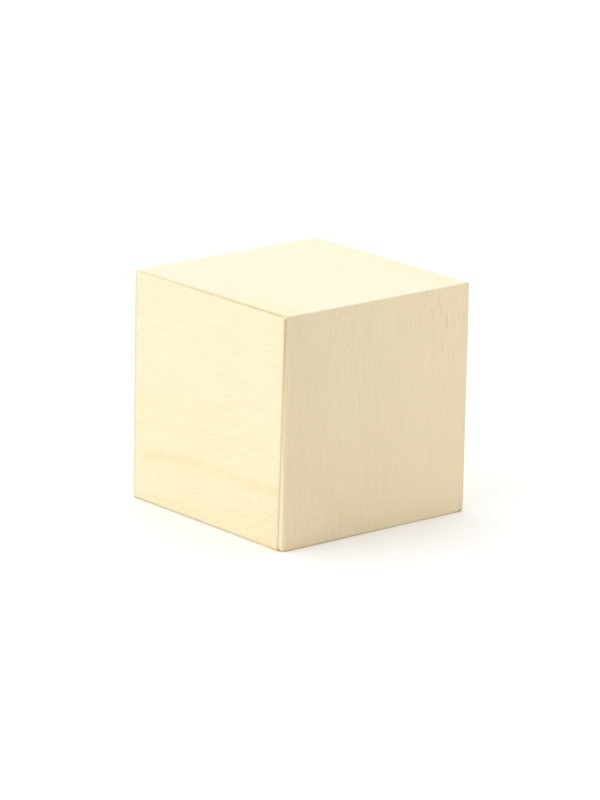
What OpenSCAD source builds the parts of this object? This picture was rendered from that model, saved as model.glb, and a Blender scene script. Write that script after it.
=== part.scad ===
// Wooden cube: one solid block of pale, close-grained wood with sanded arrises.
// Millimetres, +Z up. The origin is the centre of the face that it stands on.
// The front is -Y and the right-hand side is +X. The grain runs from left to right, along X.

/* [Block] */
// Length of every side of the cube
side = 50; // [20:1:100]

/* [Arrises] */
// Radius sanded on most of the arrises
arris_r = 0.3; // [0.1:0.05:0.8]
// Radius on the top and the left arris of the front face, which are sanded a little more
front_arris_r = 0.5; // [0.1:0.05:1]

/* [Worn edge] */
// How far the round-over of the front right upright edge reaches along each face, at the top
worn_top = 0.3; // [0.1:0.05:0.9]
// The same reach at the foot, where the edge is worn the most
worn_foot = 1.4; // [1:0.1:3]
// Angle that the round-over turns through: short of 90 it leaves a faint line along each face
worn_arc = 65; // [45:5:75]

/* [Hidden] */
$fn = 64;

half = side / 2;

// What a cutting shape runs past the faces that it cuts
overrun = 1;

// The round-over is part of a cone whose point lies on the line of the sharp edge, above the block.
// It meets both faces along straight lines, and its axis lies in the plane that halves the corner.

// Growth of the round-over's reach for each millimetre down the edge
wear_rate = (worn_foot - worn_top) / side;

// Distance from each face to the cone's axis, for each millimetre of reach
axis_gain = (1 + 1 / tan(worn_arc / 2)) / 2;

// Steps down the axis and down one line of contact, for each millimetre of height
axis_step = [-axis_gain * wear_rate, axis_gain * wear_rate, -1];
contact_step = [0, wear_rate, -1];

// Radius of the cone, square to its axis, for each millimetre of reach
cone_gain = norm(axis_step) * norm([axis_gain - 1, axis_gain, axis_gain * wear_rate])
    / (axis_step * contact_step);

// Lean of the axis from the upright
axis_lean = atan(sqrt(2) * axis_gain * wear_rate);

// Reach of the round-over at height z, also past the ends of the edge
function worn_reach(z) = worn_foot - wear_rate * z;

// What rounding one corner of a square outline takes away, with the corner at the origin
// and the outline lying towards -x and -y
module corner_waste(r) {
    translate([-r, -r])
        difference() {
            square(r + overrun);
            circle(r);
        }
}

// Square outline about the origin. The radii start at the corner (-, -) and go round
// anticlockwise, and a corner of radius 0 stays sharp.
module eased_square(radii) {
    difference() {
        square(side, center = true);
        for (i = [0 : 3])
            if (radii[i] > 0)
                rotate(90 * i + 180)
                    translate([half, half])
                        corner_waste(radii[i]);
    }
}

// Bar of square section along Z, centred on the origin
module eased_bar(radii) {
    linear_extrude(side, center = true)
        eased_square(radii);
}

// The block before its front right edge was worn: three eased bars crossed at right angles
module eased_block() {
    // Seen from the front, x to the right and z up
    front_view = [arris_r, arris_r, arris_r, arris_r];
    // Seen from the right, y to the right and z up
    right_view = [arris_r, arris_r, arris_r, front_arris_r];
    // Seen from above, x to the right and y up, with the worn corner left sharp
    plan_view = [front_arris_r, 0, arris_r, arris_r];
    intersection() {
        rotate([90, 0, 0])
            eased_bar(front_view);
        rotate([90, 0, 90])
            eased_bar(right_view);
        eased_bar(plan_view);
    }
}

// Moves children so that +x points out of the block along the line that halves the worn corner,
// with the foot of the sharp edge at the origin
module at_worn_edge() {
    translate([half, -half, 0])
        rotate(-45)
            children();
}

// Cone whose side is the rounded surface, a little longer than the edge at both ends
module wear_cone() {
    foot_past = worn_foot * cos(axis_lean);
    top_past = worn_top * cos(axis_lean);
    at_worn_edge()
        translate([-sqrt(2) * axis_gain * worn_foot, 0, 0])
            rotate([0, axis_lean, 0])
                translate([0, 0, -worn_foot])
                    cylinder(
                        h = worn_foot + side / cos(axis_lean) + worn_top,
                        r1 = cone_gain * worn_reach(-foot_past),
                        r2 = cone_gain * worn_reach(side + top_past)
                    );
}

// The corner outside a flat that crosses each face where the cone bulges furthest past it,
// so that the cone alone shapes the block
module wear_slab() {
    slab = 2 * (axis_gain * worn_foot + overrun);
    slab_lean = atan(axis_gain * wear_rate / sqrt(2));
    at_worn_edge()
        translate([-axis_gain * worn_foot / sqrt(2), -slab / 2, 0])
            rotate([0, slab_lean, 0])
                translate([0, 0, -overrun])
                    cube([slab, slab, side + 4 * overrun]);
}

module worn_edge_waste() {
    difference() {
        wear_slab();
        wear_cone();
    }
}

// What easing the foot of the worn edge takes away: a quarter ring from one bottom arris to the next.
// Its reach is the cone's a little way up, so that the ring runs out into the cone without a ledge.
module worn_foot_waste() {
    reach = worn_reach(2 * arris_r);
    at_worn_edge()
        translate([-sqrt(2) * axis_gain * reach, 0, 0])
            rotate(-45)
                rotate_extrude(angle = 90)
                    translate([cone_gain * reach, 0])
                        mirror([0, 1])
                            corner_waste(arris_r);
}

module wooden_cube() {
    color([0.95, 0.88, 0.71])
        difference() {
            translate([0, 0, half])
                eased_block();
            worn_edge_waste();
            worn_foot_waste();
        }
}

wooden_cube();
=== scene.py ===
"""Dresses the wooden cube: a fine worn mesh, bare sanded wood, a white floor and soft light."""
import math
from collections import namedtuple
from itertools import chain, combinations, product
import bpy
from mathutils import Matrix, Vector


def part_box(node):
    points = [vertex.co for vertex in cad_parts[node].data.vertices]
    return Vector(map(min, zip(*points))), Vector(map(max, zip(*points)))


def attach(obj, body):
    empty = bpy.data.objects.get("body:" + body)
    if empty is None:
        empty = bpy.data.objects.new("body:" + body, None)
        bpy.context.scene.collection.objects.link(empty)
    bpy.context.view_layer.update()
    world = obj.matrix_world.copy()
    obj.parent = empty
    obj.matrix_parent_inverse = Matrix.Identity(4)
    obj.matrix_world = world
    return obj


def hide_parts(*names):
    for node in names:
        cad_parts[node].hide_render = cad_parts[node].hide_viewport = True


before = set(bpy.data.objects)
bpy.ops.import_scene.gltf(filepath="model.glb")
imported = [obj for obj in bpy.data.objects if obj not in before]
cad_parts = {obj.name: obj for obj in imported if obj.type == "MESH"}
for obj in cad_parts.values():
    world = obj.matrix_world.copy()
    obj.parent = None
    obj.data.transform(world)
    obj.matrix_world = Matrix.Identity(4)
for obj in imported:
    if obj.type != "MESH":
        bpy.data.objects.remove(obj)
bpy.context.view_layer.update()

from types import SimpleNamespace

import bpy
import numpy as np
from mathutils import Matrix, Vector

NODE = "wooden_cube"
PIECE = "sanded_block"
MM = 0.001

# The block's corners and side in millimetres, from the frame
LOW, HIGH = (np.array(corner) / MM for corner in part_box(NODE))
SIDE = HIGH[2] - LOW[2]

# The faces as (axis, side), named as the portrait shows them
RIGHT, LEFT = (0, 1), (0, -1)
BACK, FRONT = (1, 1), (1, -1)
TOP, BOTTOM = (2, 1), (2, -1)
FACES = (RIGHT, LEFT, BACK, FRONT, TOP, BOTTOM)

# The arrises, with the values of the part's source, in millimetres
ARRIS_R = 0.3
FRONT_ARRIS_R = 0.5
FRONT_ARRISES = ({FRONT, TOP}, {FRONT, LEFT})
WORN_EDGE = {RIGHT, FRONT}
WORN_TOP = 0.3
WORN_FOOT = 1.4
WORN_ARC = math.radians(65)

# How far an arris strays from its even radius, as a share, and over which lengths in millimetres
UNEVEN = 0.22
UNEVEN_WAVES = (19.0, 8.3, 4.1)

# How much wider an arris is at its two ends, as a share, and over which length in millimetres
END_WEAR = 0.7
END_REACH = 1.4

# How far a ball rubs the tips off along the diagonal, in millimetres,
# and how many times as far inside the three faces its centre lies
TIP_WEAR = 0.3
BLUNT_TIP = {FRONT, TOP, LEFT}
BLUNT_WEAR = 0.5
TIP_BALL = 4.0

# Small knocks: centre and radius of the hollow, in millimetres
FRONT_FOOT_KNOCK = ((24.0, -25.15, 0.05), 0.4)
FAR_FOOT_KNOCKS = (
    ((25.15, 23.9, 0.05), 0.4),
    ((25.2, 24.9, 0.6), 0.4),
)
FAR_TIP_KNOCK = ((25.2, 25.2, 50.2), 0.7)
KNOCKS = (FRONT_FOOT_KNOCK, *FAR_FOOT_KNOCKS, FAR_TIP_KNOCK)

# The mesh: close lines by the arrises, wide ones between, in millimetres
CLOSE_REACH = 2.6
CLOSE_CELLS = 26
CLOSE_GROWTH = 1.3
WIDE_CELLS = 44
CORE_INSET = 4.0
HALVINGS = 40

# The bake map: three squares across and two down
MAP_COLUMNS = 3
MAP_CELL = 0.31
MAP_MARGIN = 0.012

# The camera that the photograph's corners give
CAMERA_AZIMUTH = math.radians(49.84)
CAMERA_ELEVATION = math.radians(15.48)
CAMERA_ROLL = math.radians(1.08)
CAMERA_DISTANCE = 0.994
CAMERA_AIM = Vector((0.0001, -0.002))
PHOTO_HEIGHT_PX = 800
FOCAL_PX = 4702
SENSOR_MM = 36

# The light: two wide soft lamps, as (name, azimuth, elevation, width, level), and an even white room
LAMPS = (
    ("overhead_lamp", -122, 60, 120, 0.548),
    ("front_lamp", -10, 25, 60, 0.299),
)
ROOM_LEVEL = 0.597
FLOOR_HALF = 4.0


def linear(red, green, blue):
    """A colour written in 0 to 255 as the screen shows it, for a shader socket."""
    def channel(value):
        share = value / 255
        return share / 12.92 if share <= 0.04045 else ((share + 0.055) / 1.055) ** 2.4
    return (channel(red), channel(green), channel(blue), 1.0)


# Colours, as the screen shows them
PALE = linear(239, 229, 195)
WARM = linear(239, 229, 192)
SAWN_END = linear(241, 225, 190)
# Painted sheen: the top face is drawn in this paler colour
TOP_PAINTED_SHEEN = linear(236, 226, 199)
# Painted light: the pale colour of the lit strip on the worn edge
PAINTED_LIGHT_PALE = linear(248, 232, 197)
CREAM = linear(248, 231, 192)
HONEY = linear(230, 203, 146)
LEMON = linear(222, 214, 150)
STRAW = linear(189, 173, 116)
TAN = linear(226, 194, 140)
PEACH = linear(244, 208, 164)
GREY = linear(192, 186, 160)
LILAC = linear(206, 188, 178)
OLIVE = linear(188, 164, 116)
BROWN = linear(168, 134, 90)
DARK = linear(128, 112, 88)
CARD = linear(249, 249, 250)

# The growth rings: how they slope from front to back, dip at the left and sway, in millimetres,
# and between which places in them the wood turns from warm to pale
RING_SLOPE = 0.8
RING_DIP = 2.2
RING_SWAY = 3.0
SWAY_SIZE = (30.0, 14.0, 14.0)
SAPWOOD_FROM = 9.0
SAPWOOD_TO = 36.0

# Growth bands, as (place in the rings, half width, share on the long faces, share on the sawn ends)
GROWTH_BANDS = (
    (12.4, 2.0, 0.28, 0.03),
    (19.5, 4.5, 0.04, 0.10),
    (26.0, 5.0, 0.05, 0.0),
    (62.0, 2.0, 0.24, 0.03),
    (74.0, 5.0, 0.10, 0.03),
)

# Patches that break up the bands: their size in millimetres, the noise levels where they are
# faintest and strongest, and how strong they are there
BAND_PATCH_SIZE = (7.0, 7.0, 2.0)
BAND_PATCHES = (0.3, 0.6, 0.35, 1.0)

# The fibres: how far they lean on the long faces, and each kind's length and width in millimetres
FIBRE_LEAN = math.tan(math.radians(4))
FIBRE_SIZE = (2.6, 0.3)
END_FIBRE_SIZE = (8.0, 0.32)
FLECK_SIZE = (0.8, 0.32)
FIGURE_SIZE = (16.0, 1.5)
PORE_SIZE = (1.8, 0.22)
VESSEL_SIZE = (4.0, 0.3)

# Patches that make the stains uneven, in the same way
STAIN_PATCH_SIZE = (2.6, 2.6, 2.6)
STAIN_PATCHES = (0.25, 0.65, 0.7, 1.0)

# The noise: how many finer layers it has where it is fine and where it is broad, and its mean
FINE_DETAIL = 2.0
BROAD_DETAIL = 1.0
NOISE_MEAN = 0.5

# Stains and painted light and shade: the colour, its share, and where it is gone and full, in
# millimetres or as a noise level
StainAndLight = namedtuple("StainAndLight", "colour share gone full")
FIBRE = StainAndLight(STRAW, 0.12, 0.35, 0.75)
FLECK = StainAndLight(STRAW, 0.13, 0.35, 0.75)
FIGURE = StainAndLight(TAN, 0.05, 0.35, 0.70)
PORE = StainAndLight(BROWN, 0.10, 0.66, 0.76)
VESSEL = StainAndLight(OLIVE, 0.27, 0.55, 0.70)
# Painted shade and light on the right end: greyer and darker by the near edge, paler by the far edge
NEAR_EDGE_PAINTED_SHADE = StainAndLight(LILAC, 0.14, 20.0, 2.0)
NEAR_SHADE = StainAndLight(OLIVE, 0.05, 22.0, 2.0)
FAR_EDGE_PAINTED_LIGHT = StainAndLight(CREAM, 0.36, 32.0, 2.0)
NEAR_BLUSH = StainAndLight(TAN, 0.08, 20.0, 4.0)
TOP_RIM = StainAndLight(HONEY, 0.30, 2.4, 0.3)
TOP_NEAR = StainAndLight(LEMON, 0.30, 10.0, 0.0)
TOP_BACK = StainAndLight(LEMON, 0.24, 10.0, 0.0)
TOP_LINE = StainAndLight(STRAW, 0.80, 0.5, 0.2)
LEFT_LINE = StainAndLight(GREY, 0.60, 1.2, 0.3)
FRONT_FOOT = StainAndLight(BROWN, 0.34, 0.7, 0.2)
RIGHT_FOOT = StainAndLight(BROWN, 0.36, 0.7, 0.2)
FOOT_TIP = StainAndLight(DARK, 0.30, 0.45, 0.1)
FOOT_BLUSH = StainAndLight(PEACH, 0.55, 1.8, 0.4)
FOOT_SHADE = StainAndLight(OLIVE, 0.06, 6.0, 0.0)
# A dark line along the near edge that is also painted shade on the worn facet
NEAR_LINE_AND_SHADE = StainAndLight(OLIVE, 0.82, 0.95, 0.15)
SEAM = StainAndLight(OLIVE, 0.55, 0.28, 0.08)
SEAM_RIM = StainAndLight(TAN, 0.22, 1.3, 0.2)
# Painted light and shade on the worn facet's front half: a pale lit strip low down, a duller shaded one
# higher up
PAINTED_LIGHT_STRIP = StainAndLight(PAINTED_LIGHT_PALE, 0.90, 0.1, -0.05)
PAINTED_SHADE_STRIP = StainAndLight(OLIVE, 0.20, 0.1, -0.05)
TAN_STRIP = StainAndLight(TAN, 0.20, 2.0, 1.5)
FOOT_WEDGE = StainAndLight(BROWN, 0.30, -0.05, 0.1)
KNOCK_DIRT = StainAndLight(DARK, 0.36, 0.25, -0.05)
TIP_DIRT = StainAndLight(DARK, 0.22, 0.7, 0.0)
DIRT_RUN = StainAndLight(BROWN, 0.28, 0.35, 0.05)

# Where a stain, painted light or painted shade is gone and full along the block, in millimetres
NEAR_EDGE_SHADE_HEIGHT = (20.0, 42.0)
SHADE_UNDER = (36.0, 24.0)
SHADE_OVER = (2.0, 14.0)
VESSEL_DEPTH = (26.0, 6.0)
VESSEL_HEIGHT = (22.0, 42.0)
RUN_HEIGHT = (5.5, 1.0)
TOP_NEAR_RUN = (-15.0, HIGH[0])
FOOT_BLUSH_RUN = (12.0, 3.0)
FOOT_TIP_RUN = (3.0, 1.5)
PAINTED_LIGHT_STRIP_HEIGHT = (24.0, 15.0)
PAINTED_SHADE_STRIP_HEIGHT = (16.0, 24.0)
NEAR_LINE_AND_SHADE_HEIGHT = (12.0, 36.0)
WEDGE_HEIGHT = (1.6, 1.1)
WEDGE_WIDTH = (0.3, 0.05)
SEAM_RIM_DEPTH = (0.3, 0.1)
UNDER_FACE = (0.0, 0.1)
FRONT_HALF = (0.0, 0.15)
RIGHT_HALF = (0.15, 0.0)

# Where a stain is faintest and strongest along the block, in millimetres, and how strong it is there
FRONT_LINE_RUN = (LOW[0], HIGH[0], 0.45, 1.0)
RIGHT_FOOT_RUN = (30.0, 0.0, 0.35, 1.0)

# How the seam of the worn edge bends at the foot: from which height to which, and how far
SEAM_BEND = (1.5, 0.1, 0.0, 0.7)

# How many times narrower the near line is on the front face than on the right one
NEAR_LINE_LEAN = 2.5

# How far a surface turns from an axis before it counts as another face
FACE_TURN = (0.6, 0.8)

# The finish: the bump's strength and its depth in metres, the roughness and its rise along the
# fibres, and the shine
BUMP_STRENGTH = 0.4
BUMP_DEPTH = 0.00003
ROUGHNESS = 0.5
ROUGHNESS_RISE = 0.16
SHINE = 0.4

# The sockets of a mix node: the share, the first and the second, for colours and for values
COLOUR_SOCKETS = (0, 6, 7)
VALUE_SOCKETS = (0, 2, 3)


# The form of the block

def gap(points, face):
    """How far the points lie outside a face, in millimetres; inside counts as less than nothing."""
    axis, side = face
    return points[:, axis] - HIGH[axis] if side > 0 else LOW[axis] - points[:, axis]


def eased(a, b, radius):
    """Two faces met by a round of the given radius."""
    across, along = a + radius, b + radius
    corner = np.hypot(np.maximum(across, 0), np.maximum(along, 0))
    return corner + np.minimum(np.maximum(across, along), 0) - radius


def ripple(distance, seed):
    """An uneven run from -1 to 1 along an edge."""
    phases = np.random.default_rng(seed).random(len(UNEVEN_WAVES))
    turns = [distance / length + phase for length, phase in zip(UNEVEN_WAVES, phases)]
    return sum(np.sin(math.tau * turn) for turn in turns) / len(turns)


def worn_edge(points):
    """The near upright edge, rounded over by a cone that widens towards the foot."""
    right, front = gap(points, RIGHT), gap(points, FRONT)
    height = np.clip((points[:, 2] - LOW[2]) / SIDE, 0, 1)
    reach = WORN_FOOT + (WORN_TOP - WORN_FOOT) * height
    axis = reach * (1 + 1 / math.tan(WORN_ARC / 2)) / 2
    radius = np.hypot(axis, axis - reach)
    arc = np.hypot(np.maximum(right + axis, 0), np.maximum(front + axis, 0)) - radius
    return np.maximum(np.maximum(right, front), arc)


def worn_arris(points, a, b, seed):
    """An arris between two faces, with an uneven round that widens at its ends."""
    axis = 3 - a[0] - b[0]
    along = points[:, axis]
    to_end = np.minimum(along - LOW[axis], HIGH[axis] - along)
    even = FRONT_ARRIS_R if {a, b} in FRONT_ARRISES else ARRIS_R
    wear = UNEVEN * ripple(along, seed) + END_WEAR * np.exp(-(to_end / END_REACH) ** 2)
    return eased(gap(points, a), gap(points, b), even * (1 + wear))


def rubbed_tip(points, tip):
    """The tip between three faces, rubbed round by a ball."""
    wear = BLUNT_WEAR if set(tip) == BLUNT_TIP else TIP_WEAR
    inset = TIP_BALL * wear
    inward = [np.maximum(gap(points, face) + inset, 0) for face in tip]
    return np.linalg.norm(inward, axis=0) - (math.sqrt(3) * inset - wear)


def outside(points):
    """How far the points lie outside the worn block, in millimetres."""
    upright = worn_edge(points)
    forms = [eased(upright, gap(points, face), ARRIS_R) for face in (TOP, BOTTOM)]
    pairs = [(a, b) for a, b in combinations(FACES, 2) if a[0] != b[0]]
    forms += [
        worn_arris(points, a, b, seed)
        for seed, (a, b) in enumerate(pairs) if {a, b} != WORN_EDGE
    ]
    forms += [rubbed_tip(points, tip) for tip in product((RIGHT, LEFT), (BACK, FRONT), (TOP, BOTTOM))]
    forms += [radius - np.linalg.norm(points - centre, axis=1) for centre, radius in KNOCKS]
    return np.max(forms, axis=0)


def settle(sharp):
    """Draws the points of a sharp block back to the worn one, along lines from its core."""
    core = np.clip(sharp, LOW + CORE_INSET, HIGH - CORE_INSET)
    near = np.zeros((len(sharp), 1))
    far = np.ones((len(sharp), 1))
    for _ in range(HALVINGS):
        middle = (near + far) / 2
        inside = outside(core + (sharp - core) * middle)[:, None] < 0
        near = np.where(inside, middle, near)
        far = np.where(inside, far, middle)
    return core + (sharp - core) * far


def mesh_lines():
    """Where the mesh lines cross an edge of the block, from 0 to its side."""
    close = CLOSE_REACH * np.linspace(0, 1, CLOSE_CELLS + 1) ** CLOSE_GROWTH
    wide = np.linspace(CLOSE_REACH, SIDE - CLOSE_REACH, WIDE_CELLS + 1)
    return np.concatenate([close[:-1], wide, SIDE - close[-2::-1]])


def build_block():
    """The worn block as one closed mesh of squares, with a map of its six faces."""
    lines = mesh_lines()
    last = len(lines) - 1
    grid = np.indices((last + 1,) * 3).reshape(3, -1).T
    grid = grid[((grid == 0) | (grid == last)).any(axis=1)]
    number = np.full((last + 1,) * 3, -1)
    number[tuple(grid.T)] = np.arange(len(grid))

    quads, map_points = [], []
    share = lines / SIDE
    first, second = np.meshgrid(np.arange(last), np.arange(last), indexing="ij")
    around = [(first, second), (first + 1, second), (first + 1, second + 1), (first, second + 1)]
    for cell, (axis, side) in enumerate(FACES):
        sheet = number.take(last if side > 0 else 0, axis)
        corners = around[::-1] if (side > 0) == (axis == 1) else around
        quads.append(np.stack([sheet[corner] for corner in corners], axis=-1).reshape(-1, 4))
        place = np.array([cell % MAP_COLUMNS, cell // MAP_COLUMNS])
        origin = place * (MAP_CELL + MAP_MARGIN) + MAP_MARGIN
        corner_map = [np.stack([share[a], share[b]], axis=-1) * MAP_CELL + origin for a, b in corners]
        map_points.append(np.stack(corner_map, axis=2).reshape(-1, 2))

    mesh = bpy.data.meshes.new(PIECE)
    points = settle(LOW + lines[grid])
    mesh.from_pydata((points * MM).tolist(), [], np.concatenate(quads).tolist())
    mesh.uv_layers.new(name="OFBake").data.foreach_set("uv", np.concatenate(map_points).ravel())
    mesh.shade_smooth()
    block = bpy.data.objects.new(PIECE, mesh)
    bpy.context.scene.collection.objects.link(block)
    return block


# Materials

class Graph:
    """Short words for wiring the nodes of a material."""

    def __init__(self, tree):
        self.tree = tree
        tree.nodes.clear()

    def feed(self, socket, value):
        """Links another node's output to a socket, or sets a plain value."""
        if isinstance(value, bpy.types.NodeSocket):
            self.tree.links.new(value, socket)
        else:
            socket.default_value = value

    def add(self, kind, inputs=(), **settings):
        """A new node with its settings and inputs."""
        node = self.tree.nodes.new(kind)
        for name, value in settings.items():
            setattr(node, name, value)
        for name, value in dict(inputs).items():
            self.feed(node.inputs[name], value)
        return node

    def math(self, operation, *values):
        node = self.add("ShaderNodeMath", operation=operation)
        for socket, value in zip(node.inputs, values):
            self.feed(socket, value)
        return node.outputs[0]

    def product(self, first, *others):
        for other in others:
            first = self.math("MULTIPLY", first, other)
        return first

    def total(self, first, *others):
        for other in others:
            first = self.math("ADD", first, other)
        return first

    def apart(self, a, b):
        """How far two values are apart."""
        return self.math("ABSOLUTE", self.math("SUBTRACT", a, b))

    def fade(self, value, start, end, low=0.0, high=1.0):
        """Low at start and high at end, smoothly; start may be the larger."""
        inputs = {"Value": value, "From Min": start, "From Max": end, "To Min": low, "To Max": high}
        return self.add("ShaderNodeMapRange", inputs, interpolation_type="SMOOTHSTEP").outputs["Result"]

    def scaled(self, vector, *sizes):
        """The vector with each axis measured in lengths of the given size."""
        node = self.add("ShaderNodeVectorMath", operation="MULTIPLY")
        self.feed(node.inputs[0], vector)
        self.feed(node.inputs[1], tuple(1 / size for size in sizes))
        return node.outputs[0]

    def noise(self, vector, detail=FINE_DETAIL):
        inputs = {"Vector": vector, "Scale": 1.0, "Detail": detail}
        return self.add("ShaderNodeTexNoise", inputs).outputs[0]

    def from_line(self, a, a0, b, b0):
        """How far a point is from the line where one coordinate is a0 and another is b0."""
        first, second = self.math("SUBTRACT", a, a0), self.math("SUBTRACT", b, b0)
        square = self.math("MULTIPLY_ADD", first, first, self.math("MULTIPLY", second, second))
        return self.math("SQRT", square)

    def from_point(self, vector, centre):
        """How far a point is from a centre."""
        node = self.add("ShaderNodeVectorMath", operation="DISTANCE")
        self.feed(node.inputs[0], vector)
        self.feed(node.inputs[1], centre)
        return node.outputs["Value"]

    def mix(self, kind, sockets, share, first, second):
        """A mix node of the given kind, wired through its own sockets."""
        node = self.add("ShaderNodeMix", data_type=kind)
        for socket, value in zip(sockets, (share, first, second)):
            self.feed(node.inputs[socket], value)
        return next(output for output in node.outputs if output.enabled)

    def blend(self, share, first, second):
        """The first colour where share is 0, the second where it is 1."""
        return self.mix("RGBA", COLOUR_SOCKETS, share, first, second)

    def pick(self, share, first, second):
        """The first value where share is 0, the second where it is 1."""
        return self.mix("FLOAT", VALUE_SOCKETS, share, first, second)

    def stain_and_light(self, kind, distance, *masks):
        """A stain's or a painted light's share at this distance from its line, less where a mask is
        low, and its colour.
        """
        return self.product(self.fade(distance, kind.gone, kind.full), kind.share, *masks), kind.colour


def new_material(name):
    """An empty material and the graph that wires it."""
    material = bpy.data.materials.new(name)
    material.use_nodes = True
    return material, Graph(material.node_tree)


def wood_places(g):
    """Where a point lies in the block, in millimetres, and which face it is on."""
    coordinates = g.add("ShaderNodeTexCoord").outputs
    point = g.scaled(coordinates["Object"], MM, MM, MM)
    x, y, z = g.add("ShaderNodeSeparateXYZ", {"Vector": point}).outputs
    across, _, up = g.add("ShaderNodeSeparateXYZ", {"Vector": coordinates["Normal"]}).outputs
    lean = g.math("MULTIPLY_ADD", x, -FIBRE_LEAN, z)
    patches = g.noise(g.scaled(point, *STAIN_PATCH_SIZE))
    return SimpleNamespace(
        point=point, x=x, y=y, z=z,
        leaning=g.add("ShaderNodeCombineXYZ", {"X": x, "Y": y, "Z": lean}).outputs[0],
        from_right=g.math("SUBTRACT", HIGH[0], x),
        from_front=g.math("SUBTRACT", y, LOW[1]),
        from_back=g.math("SUBTRACT", HIGH[1], y),
        end=g.fade(g.math("ABSOLUTE", across), *FACE_TURN),
        right=g.fade(across, *FACE_TURN),
        top=g.fade(up, *FACE_TURN),
        steady=g.fade(patches, *STAIN_PATCHES),
    )


def streaks(g, at, size, end_size=None, detail=FINE_DETAIL):
    """Noise drawn out along the fibres: level on the long faces, upright on the sawn ends."""
    length, width = size
    level = g.noise(g.scaled(at.leaning, length, width, width), detail)
    length, width = end_size or size
    upright = g.noise(g.scaled(at.point, width, width, length), detail)
    return g.pick(at.end, level, upright)


def grown_colour(g, at):
    """The wood's colour: warm to pale up the rings, with growth bands, and a painted sheen that makes
    the top paler.
    """
    sway = g.noise(g.scaled(at.point, *SWAY_SIZE), BROAD_DETAIL)
    ring = g.total(
        at.z,
        g.product(at.from_front, RING_SLOPE),
        g.fade(at.x, 0.0, LOW[0], 0.0, RING_DIP),
        g.product(g.math("SUBTRACT", sway, NOISE_MEAN), RING_SWAY),
    )
    patches = g.fade(g.noise(g.scaled(at.point, *BAND_PATCH_SIZE)), *BAND_PATCHES)
    colour = g.blend(g.fade(ring, SAPWOOD_TO, SAPWOOD_FROM), PALE, WARM)
    colour = g.blend(at.end, colour, SAWN_END)
    for centre, half, along, across in GROWTH_BANDS:
        band = g.fade(g.apart(ring, centre), half, 0.0)
        colour = g.blend(g.product(band, patches, g.pick(at.end, along, across)), colour, HONEY)
    # Painted sheen: the top face is drawn paler
    return g.blend(at.top, colour, TOP_PAINTED_SHEEN)


def end_stains_and_light(g, at):
    """Marks of the sawn ends: painted grey shade by the near edge, painted pale light by the far one,
    dark vessels and runs.
    """
    shade = g.product(g.fade(at.z, *SHADE_UNDER), g.fade(at.z, *SHADE_OVER))
    # Painted shade by the near edge and painted light by the far edge of the right end
    yield g.stain_and_light(NEAR_EDGE_PAINTED_SHADE, at.from_front, at.right, g.fade(at.z, *NEAR_EDGE_SHADE_HEIGHT))
    yield g.stain_and_light(NEAR_SHADE, at.from_front, at.right, shade)
    yield g.stain_and_light(FAR_EDGE_PAINTED_LIGHT, at.from_back, at.right)
    vessels = streaks(g, at, VESSEL_SIZE)
    far_top = g.product(g.fade(at.from_back, *VESSEL_DEPTH), g.fade(at.z, *VESSEL_HEIGHT))
    yield g.stain_and_light(VESSEL, vessels, at.end, far_top)
    for (_, y, _), _ in FAR_FOOT_KNOCKS:
        yield g.stain_and_light(DIRT_RUN, g.apart(at.y, y), at.right, g.fade(at.z, *RUN_HEIGHT))


def arris_stains(g, at):
    """Stains of the front face's browned arrises, and the marks along the foot, darker towards the
    bottom.
    """
    top_front = g.from_line(at.y, LOW[1], at.z, HIGH[2])
    left_front = g.from_line(at.x, LOW[0], at.y, LOW[1])
    foot_front = g.from_line(at.y, LOW[1], at.z, LOW[2])
    foot_right = g.from_line(at.x, HIGH[0], at.z, LOW[2])
    near_x = g.fade(at.x, *FRONT_LINE_RUN)
    near_y = g.fade(at.from_front, *RIGHT_FOOT_RUN)
    from_near = g.from_line(at.x, HIGH[0], at.y, LOW[1])
    yield g.stain_and_light(NEAR_BLUSH, foot_right, g.fade(at.end, 1.0, 0.0))
    yield g.stain_and_light(TOP_RIM, top_front, at.top, near_x)
    yield g.stain_and_light(TOP_NEAR, at.from_front, at.top, g.fade(at.x, *TOP_NEAR_RUN))
    yield g.stain_and_light(TOP_BACK, at.from_back, at.top, near_x)
    yield g.stain_and_light(TOP_LINE, top_front, near_x, at.steady)
    yield g.stain_and_light(LEFT_LINE, left_front, at.steady)
    yield g.stain_and_light(FRONT_FOOT, foot_front, at.steady)
    yield g.stain_and_light(RIGHT_FOOT, foot_right, at.steady, near_y)
    yield g.stain_and_light(FOOT_BLUSH, at.z, at.steady, g.fade(from_near, *FOOT_BLUSH_RUN))
    yield g.stain_and_light(FOOT_TIP, at.z, g.fade(from_near, *FOOT_TIP_RUN))
    yield g.stain_and_light(FOOT_SHADE, at.z, at.right)


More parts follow.
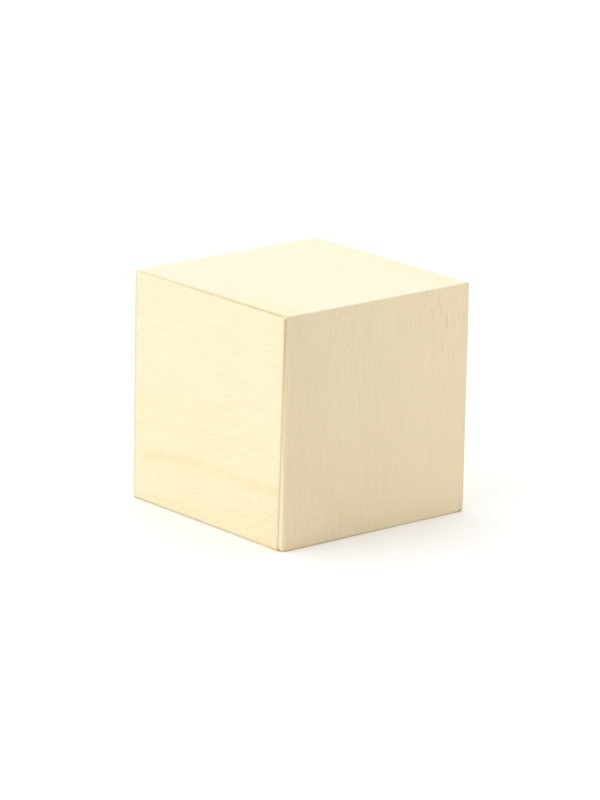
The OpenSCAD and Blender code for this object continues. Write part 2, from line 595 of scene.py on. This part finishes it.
def worn_edge_stains_and_light(g, at):
    """Marks of the near upright edge: a dark line above, widened into painted shade on the worn facet;
    below, a brown seam with a painted light strip behind it, and painted shade on that half of the
    facet higher up.
    """
    reach = g.math("MULTIPLY_ADD", at.z, (WORN_TOP - WORN_FOOT) / SIDE, WORN_FOOT)
    off_seam = g.math("SUBTRACT", at.from_right, reach)
    seam = g.from_line(off_seam, 0.0, at.from_front, 0.0)
    from_edge = g.math("MULTIPLY_ADD", at.from_front, NEAR_LINE_LEAN, at.from_right)
    to_front = g.math("SUBTRACT", at.from_right, at.from_front)
    front_half = g.product(g.fade(to_front, *FRONT_HALF), g.fade(at.from_front, *UNDER_FACE))
    right_half = g.product(g.fade(to_front, *RIGHT_HALF), g.fade(at.from_right, *UNDER_FACE))
    past_seam = g.math("ADD", off_seam, g.fade(at.z, *SEAM_BEND))
    # Painted light low on the worn facet's front half, painted shade higher up, and a dark line that is
    # partly painted shade
    yield g.stain_and_light(PAINTED_LIGHT_STRIP, past_seam, front_half, g.fade(at.z, *PAINTED_LIGHT_STRIP_HEIGHT))
    yield g.stain_and_light(PAINTED_SHADE_STRIP, past_seam, front_half, g.fade(at.z, *PAINTED_SHADE_STRIP_HEIGHT))
    yield g.stain_and_light(TAN_STRIP, at.from_front, right_half)
    yield g.stain_and_light(SEAM_RIM, seam, g.fade(at.from_front, *SEAM_RIM_DEPTH))
    yield g.stain_and_light(SEAM, seam)
    yield g.stain_and_light(NEAR_LINE_AND_SHADE, from_edge, g.fade(at.z, *NEAR_LINE_AND_SHADE_HEIGHT))
    yield g.stain_and_light(FOOT_WEDGE, past_seam, g.fade(off_seam, *WEDGE_WIDTH), g.fade(at.z, *WEDGE_HEIGHT))


def knock_stains(g, at):
    """Dirt that has settled in the small knocks, and around the one at the far tip."""
    dirt = [(KNOCK_DIRT, knock) for knock in KNOCKS] + [(TIP_DIRT, FAR_TIP_KNOCK)]
    for kind, (centre, radius) in dirt:
        yield g.stain_and_light(kind, g.math("SUBTRACT", g.from_point(at.point, centre), radius))


def bare_wood():
    """Pale sanded wood: fibres, pores, growth bands, browned arrises and a little dirt at the foot,
    with painted light and shade: a paler top, a lighter far edge and a lit strip on the worn edge, and
    shade by the near edge.
    """
    material, g = new_material("bare_sanded_wood")
    at = wood_places(g)
    fibre = streaks(g, at, FIBRE_SIZE, END_FIBRE_SIZE)
    fleck = streaks(g, at, FLECK_SIZE)
    figure = streaks(g, at, FIGURE_SIZE)
    pore = streaks(g, at, PORE_SIZE, detail=BROAD_DETAIL)

    colour = grown_colour(g, at)
    grain = (
        g.stain_and_light(FIGURE, figure),
        g.stain_and_light(FIBRE, fibre),
        g.stain_and_light(FLECK, fleck, at.end),
        g.stain_and_light(PORE, pore),
    )
    marks = (end_stains_and_light(g, at), arris_stains(g, at), worn_edge_stains_and_light(g, at), knock_stains(g, at))
    for share, stain_and_light in chain(grain, *marks):
        colour = g.blend(share, colour, stain_and_light)

    height = g.math("SUBTRACT", fibre, g.fade(pore, PORE.gone, PORE.full))
    bump = g.add("ShaderNodeBump", {
        "Strength": BUMP_STRENGTH,
        "Distance": BUMP_DEPTH,
        "Height": height,
    })
    roughness = g.math("MULTIPLY_ADD", fibre, ROUGHNESS_RISE, ROUGHNESS)
    shader = g.add("ShaderNodeBsdfPrincipled", {
        "Base Color": colour,
        "Roughness": roughness,
        "Normal": bump.outputs[0],
        "Specular IOR Level": SHINE,
    })
    g.add("ShaderNodeOutputMaterial", {"Surface": shader.outputs[0]})
    return material


def white_floor():
    """Plain white card."""
    material, g = new_material("white_floor")
    shader = g.add("ShaderNodeBsdfDiffuse", {"Color": CARD})
    g.add("ShaderNodeOutputMaterial", {"Surface": shader.outputs[0]})
    return material


# The studio

def build_floor():
    """A wide white card under the block."""
    mesh = bpy.data.meshes.new("floor")
    corners = [(-1, -1), (1, -1), (1, 1), (-1, 1)]
    mesh.from_pydata([(a * FLOOR_HALF, b * FLOOR_HALF, 0.0) for a, b in corners], [], [(0, 1, 2, 3)])
    mesh.materials.append(white_floor())
    floor = bpy.data.objects.new("floor", mesh)
    bpy.context.scene.collection.objects.link(floor)


def build_room():
    """An even white room: plain light on the block, and white behind it."""
    world = bpy.data.worlds.new("white_room")
    world.use_nodes = True
    bpy.context.scene.world = world
    g = Graph(world.node_tree)
    rays = g.add("ShaderNodeLightPath").outputs
    seen = g.total(rays["Is Camera Ray"], rays["Is Glossy Ray"], rays["Is Transmission Ray"])
    strength = g.pick(g.math("MINIMUM", seen, 1.0), ROOM_LEVEL, 1.0)
    white = g.add("ShaderNodeBackground", {"Color": (1.0, 1.0, 1.0, 1.0), "Strength": strength})
    g.add("ShaderNodeOutputWorld", {"Surface": white.outputs[0]})


def direction(azimuth, elevation):
    """Towards a stander at this azimuth and elevation; azimuth 0 stands on the -Y side."""
    flat = math.cos(elevation)
    return Vector((math.sin(azimuth) * flat, -math.cos(azimuth) * flat, math.sin(elevation)))


def build_lamp(name, azimuth, elevation, width, level):
    """A soft lamp; at level 1 a white card that faces it renders white."""
    lamp = bpy.data.lights.new(name, "SUN")
    lamp.energy = level * math.pi
    lamp.angle = math.radians(width)
    holder = bpy.data.objects.new(name, lamp)
    towards = direction(math.radians(azimuth), math.radians(elevation))
    holder.rotation_euler = towards.to_track_quat("Z", "Y").to_euler()
    bpy.context.scene.collection.objects.link(holder)


def build_camera():
    """The portrait camera, at the photograph's angle."""
    back = direction(CAMERA_AZIMUTH, CAMERA_ELEVATION)
    level = Vector((math.cos(CAMERA_AZIMUTH), math.sin(CAMERA_AZIMUTH), 0.0))
    upright = back.cross(level)
    across = math.cos(CAMERA_ROLL) * level + math.sin(CAMERA_ROLL) * upright
    up = math.cos(CAMERA_ROLL) * upright - math.sin(CAMERA_ROLL) * level
    middle = Vector((LOW + HIGH) / 2 * MM)
    eye = middle + back * CAMERA_DISTANCE + across * CAMERA_AIM.x + up * CAMERA_AIM.y
    data = bpy.data.cameras.new("portrait")
    data.sensor_fit = "VERTICAL"
    data.sensor_height = SENSOR_MM
    data.lens = SENSOR_MM * FOCAL_PX / PHOTO_HEIGHT_PX
    camera = bpy.data.objects.new("portrait", data)
    camera.matrix_world = Matrix((across, up, back)).transposed().to_4x4()
    camera.location = eye
    bpy.context.scene.collection.objects.link(camera)
    bpy.context.scene.camera = camera


def dress_block():
    """Puts the worn mesh, in bare wood, in the node's place."""
    block = build_block()
    block.data.materials.append(bare_wood())
    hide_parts(NODE)
    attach(block, "root")


dress_block()
build_floor()
build_room()
for lamp in LAMPS:
    build_lamp(*lamp)
build_camera()
bpy.context.scene.view_settings.view_transform = "Standard"
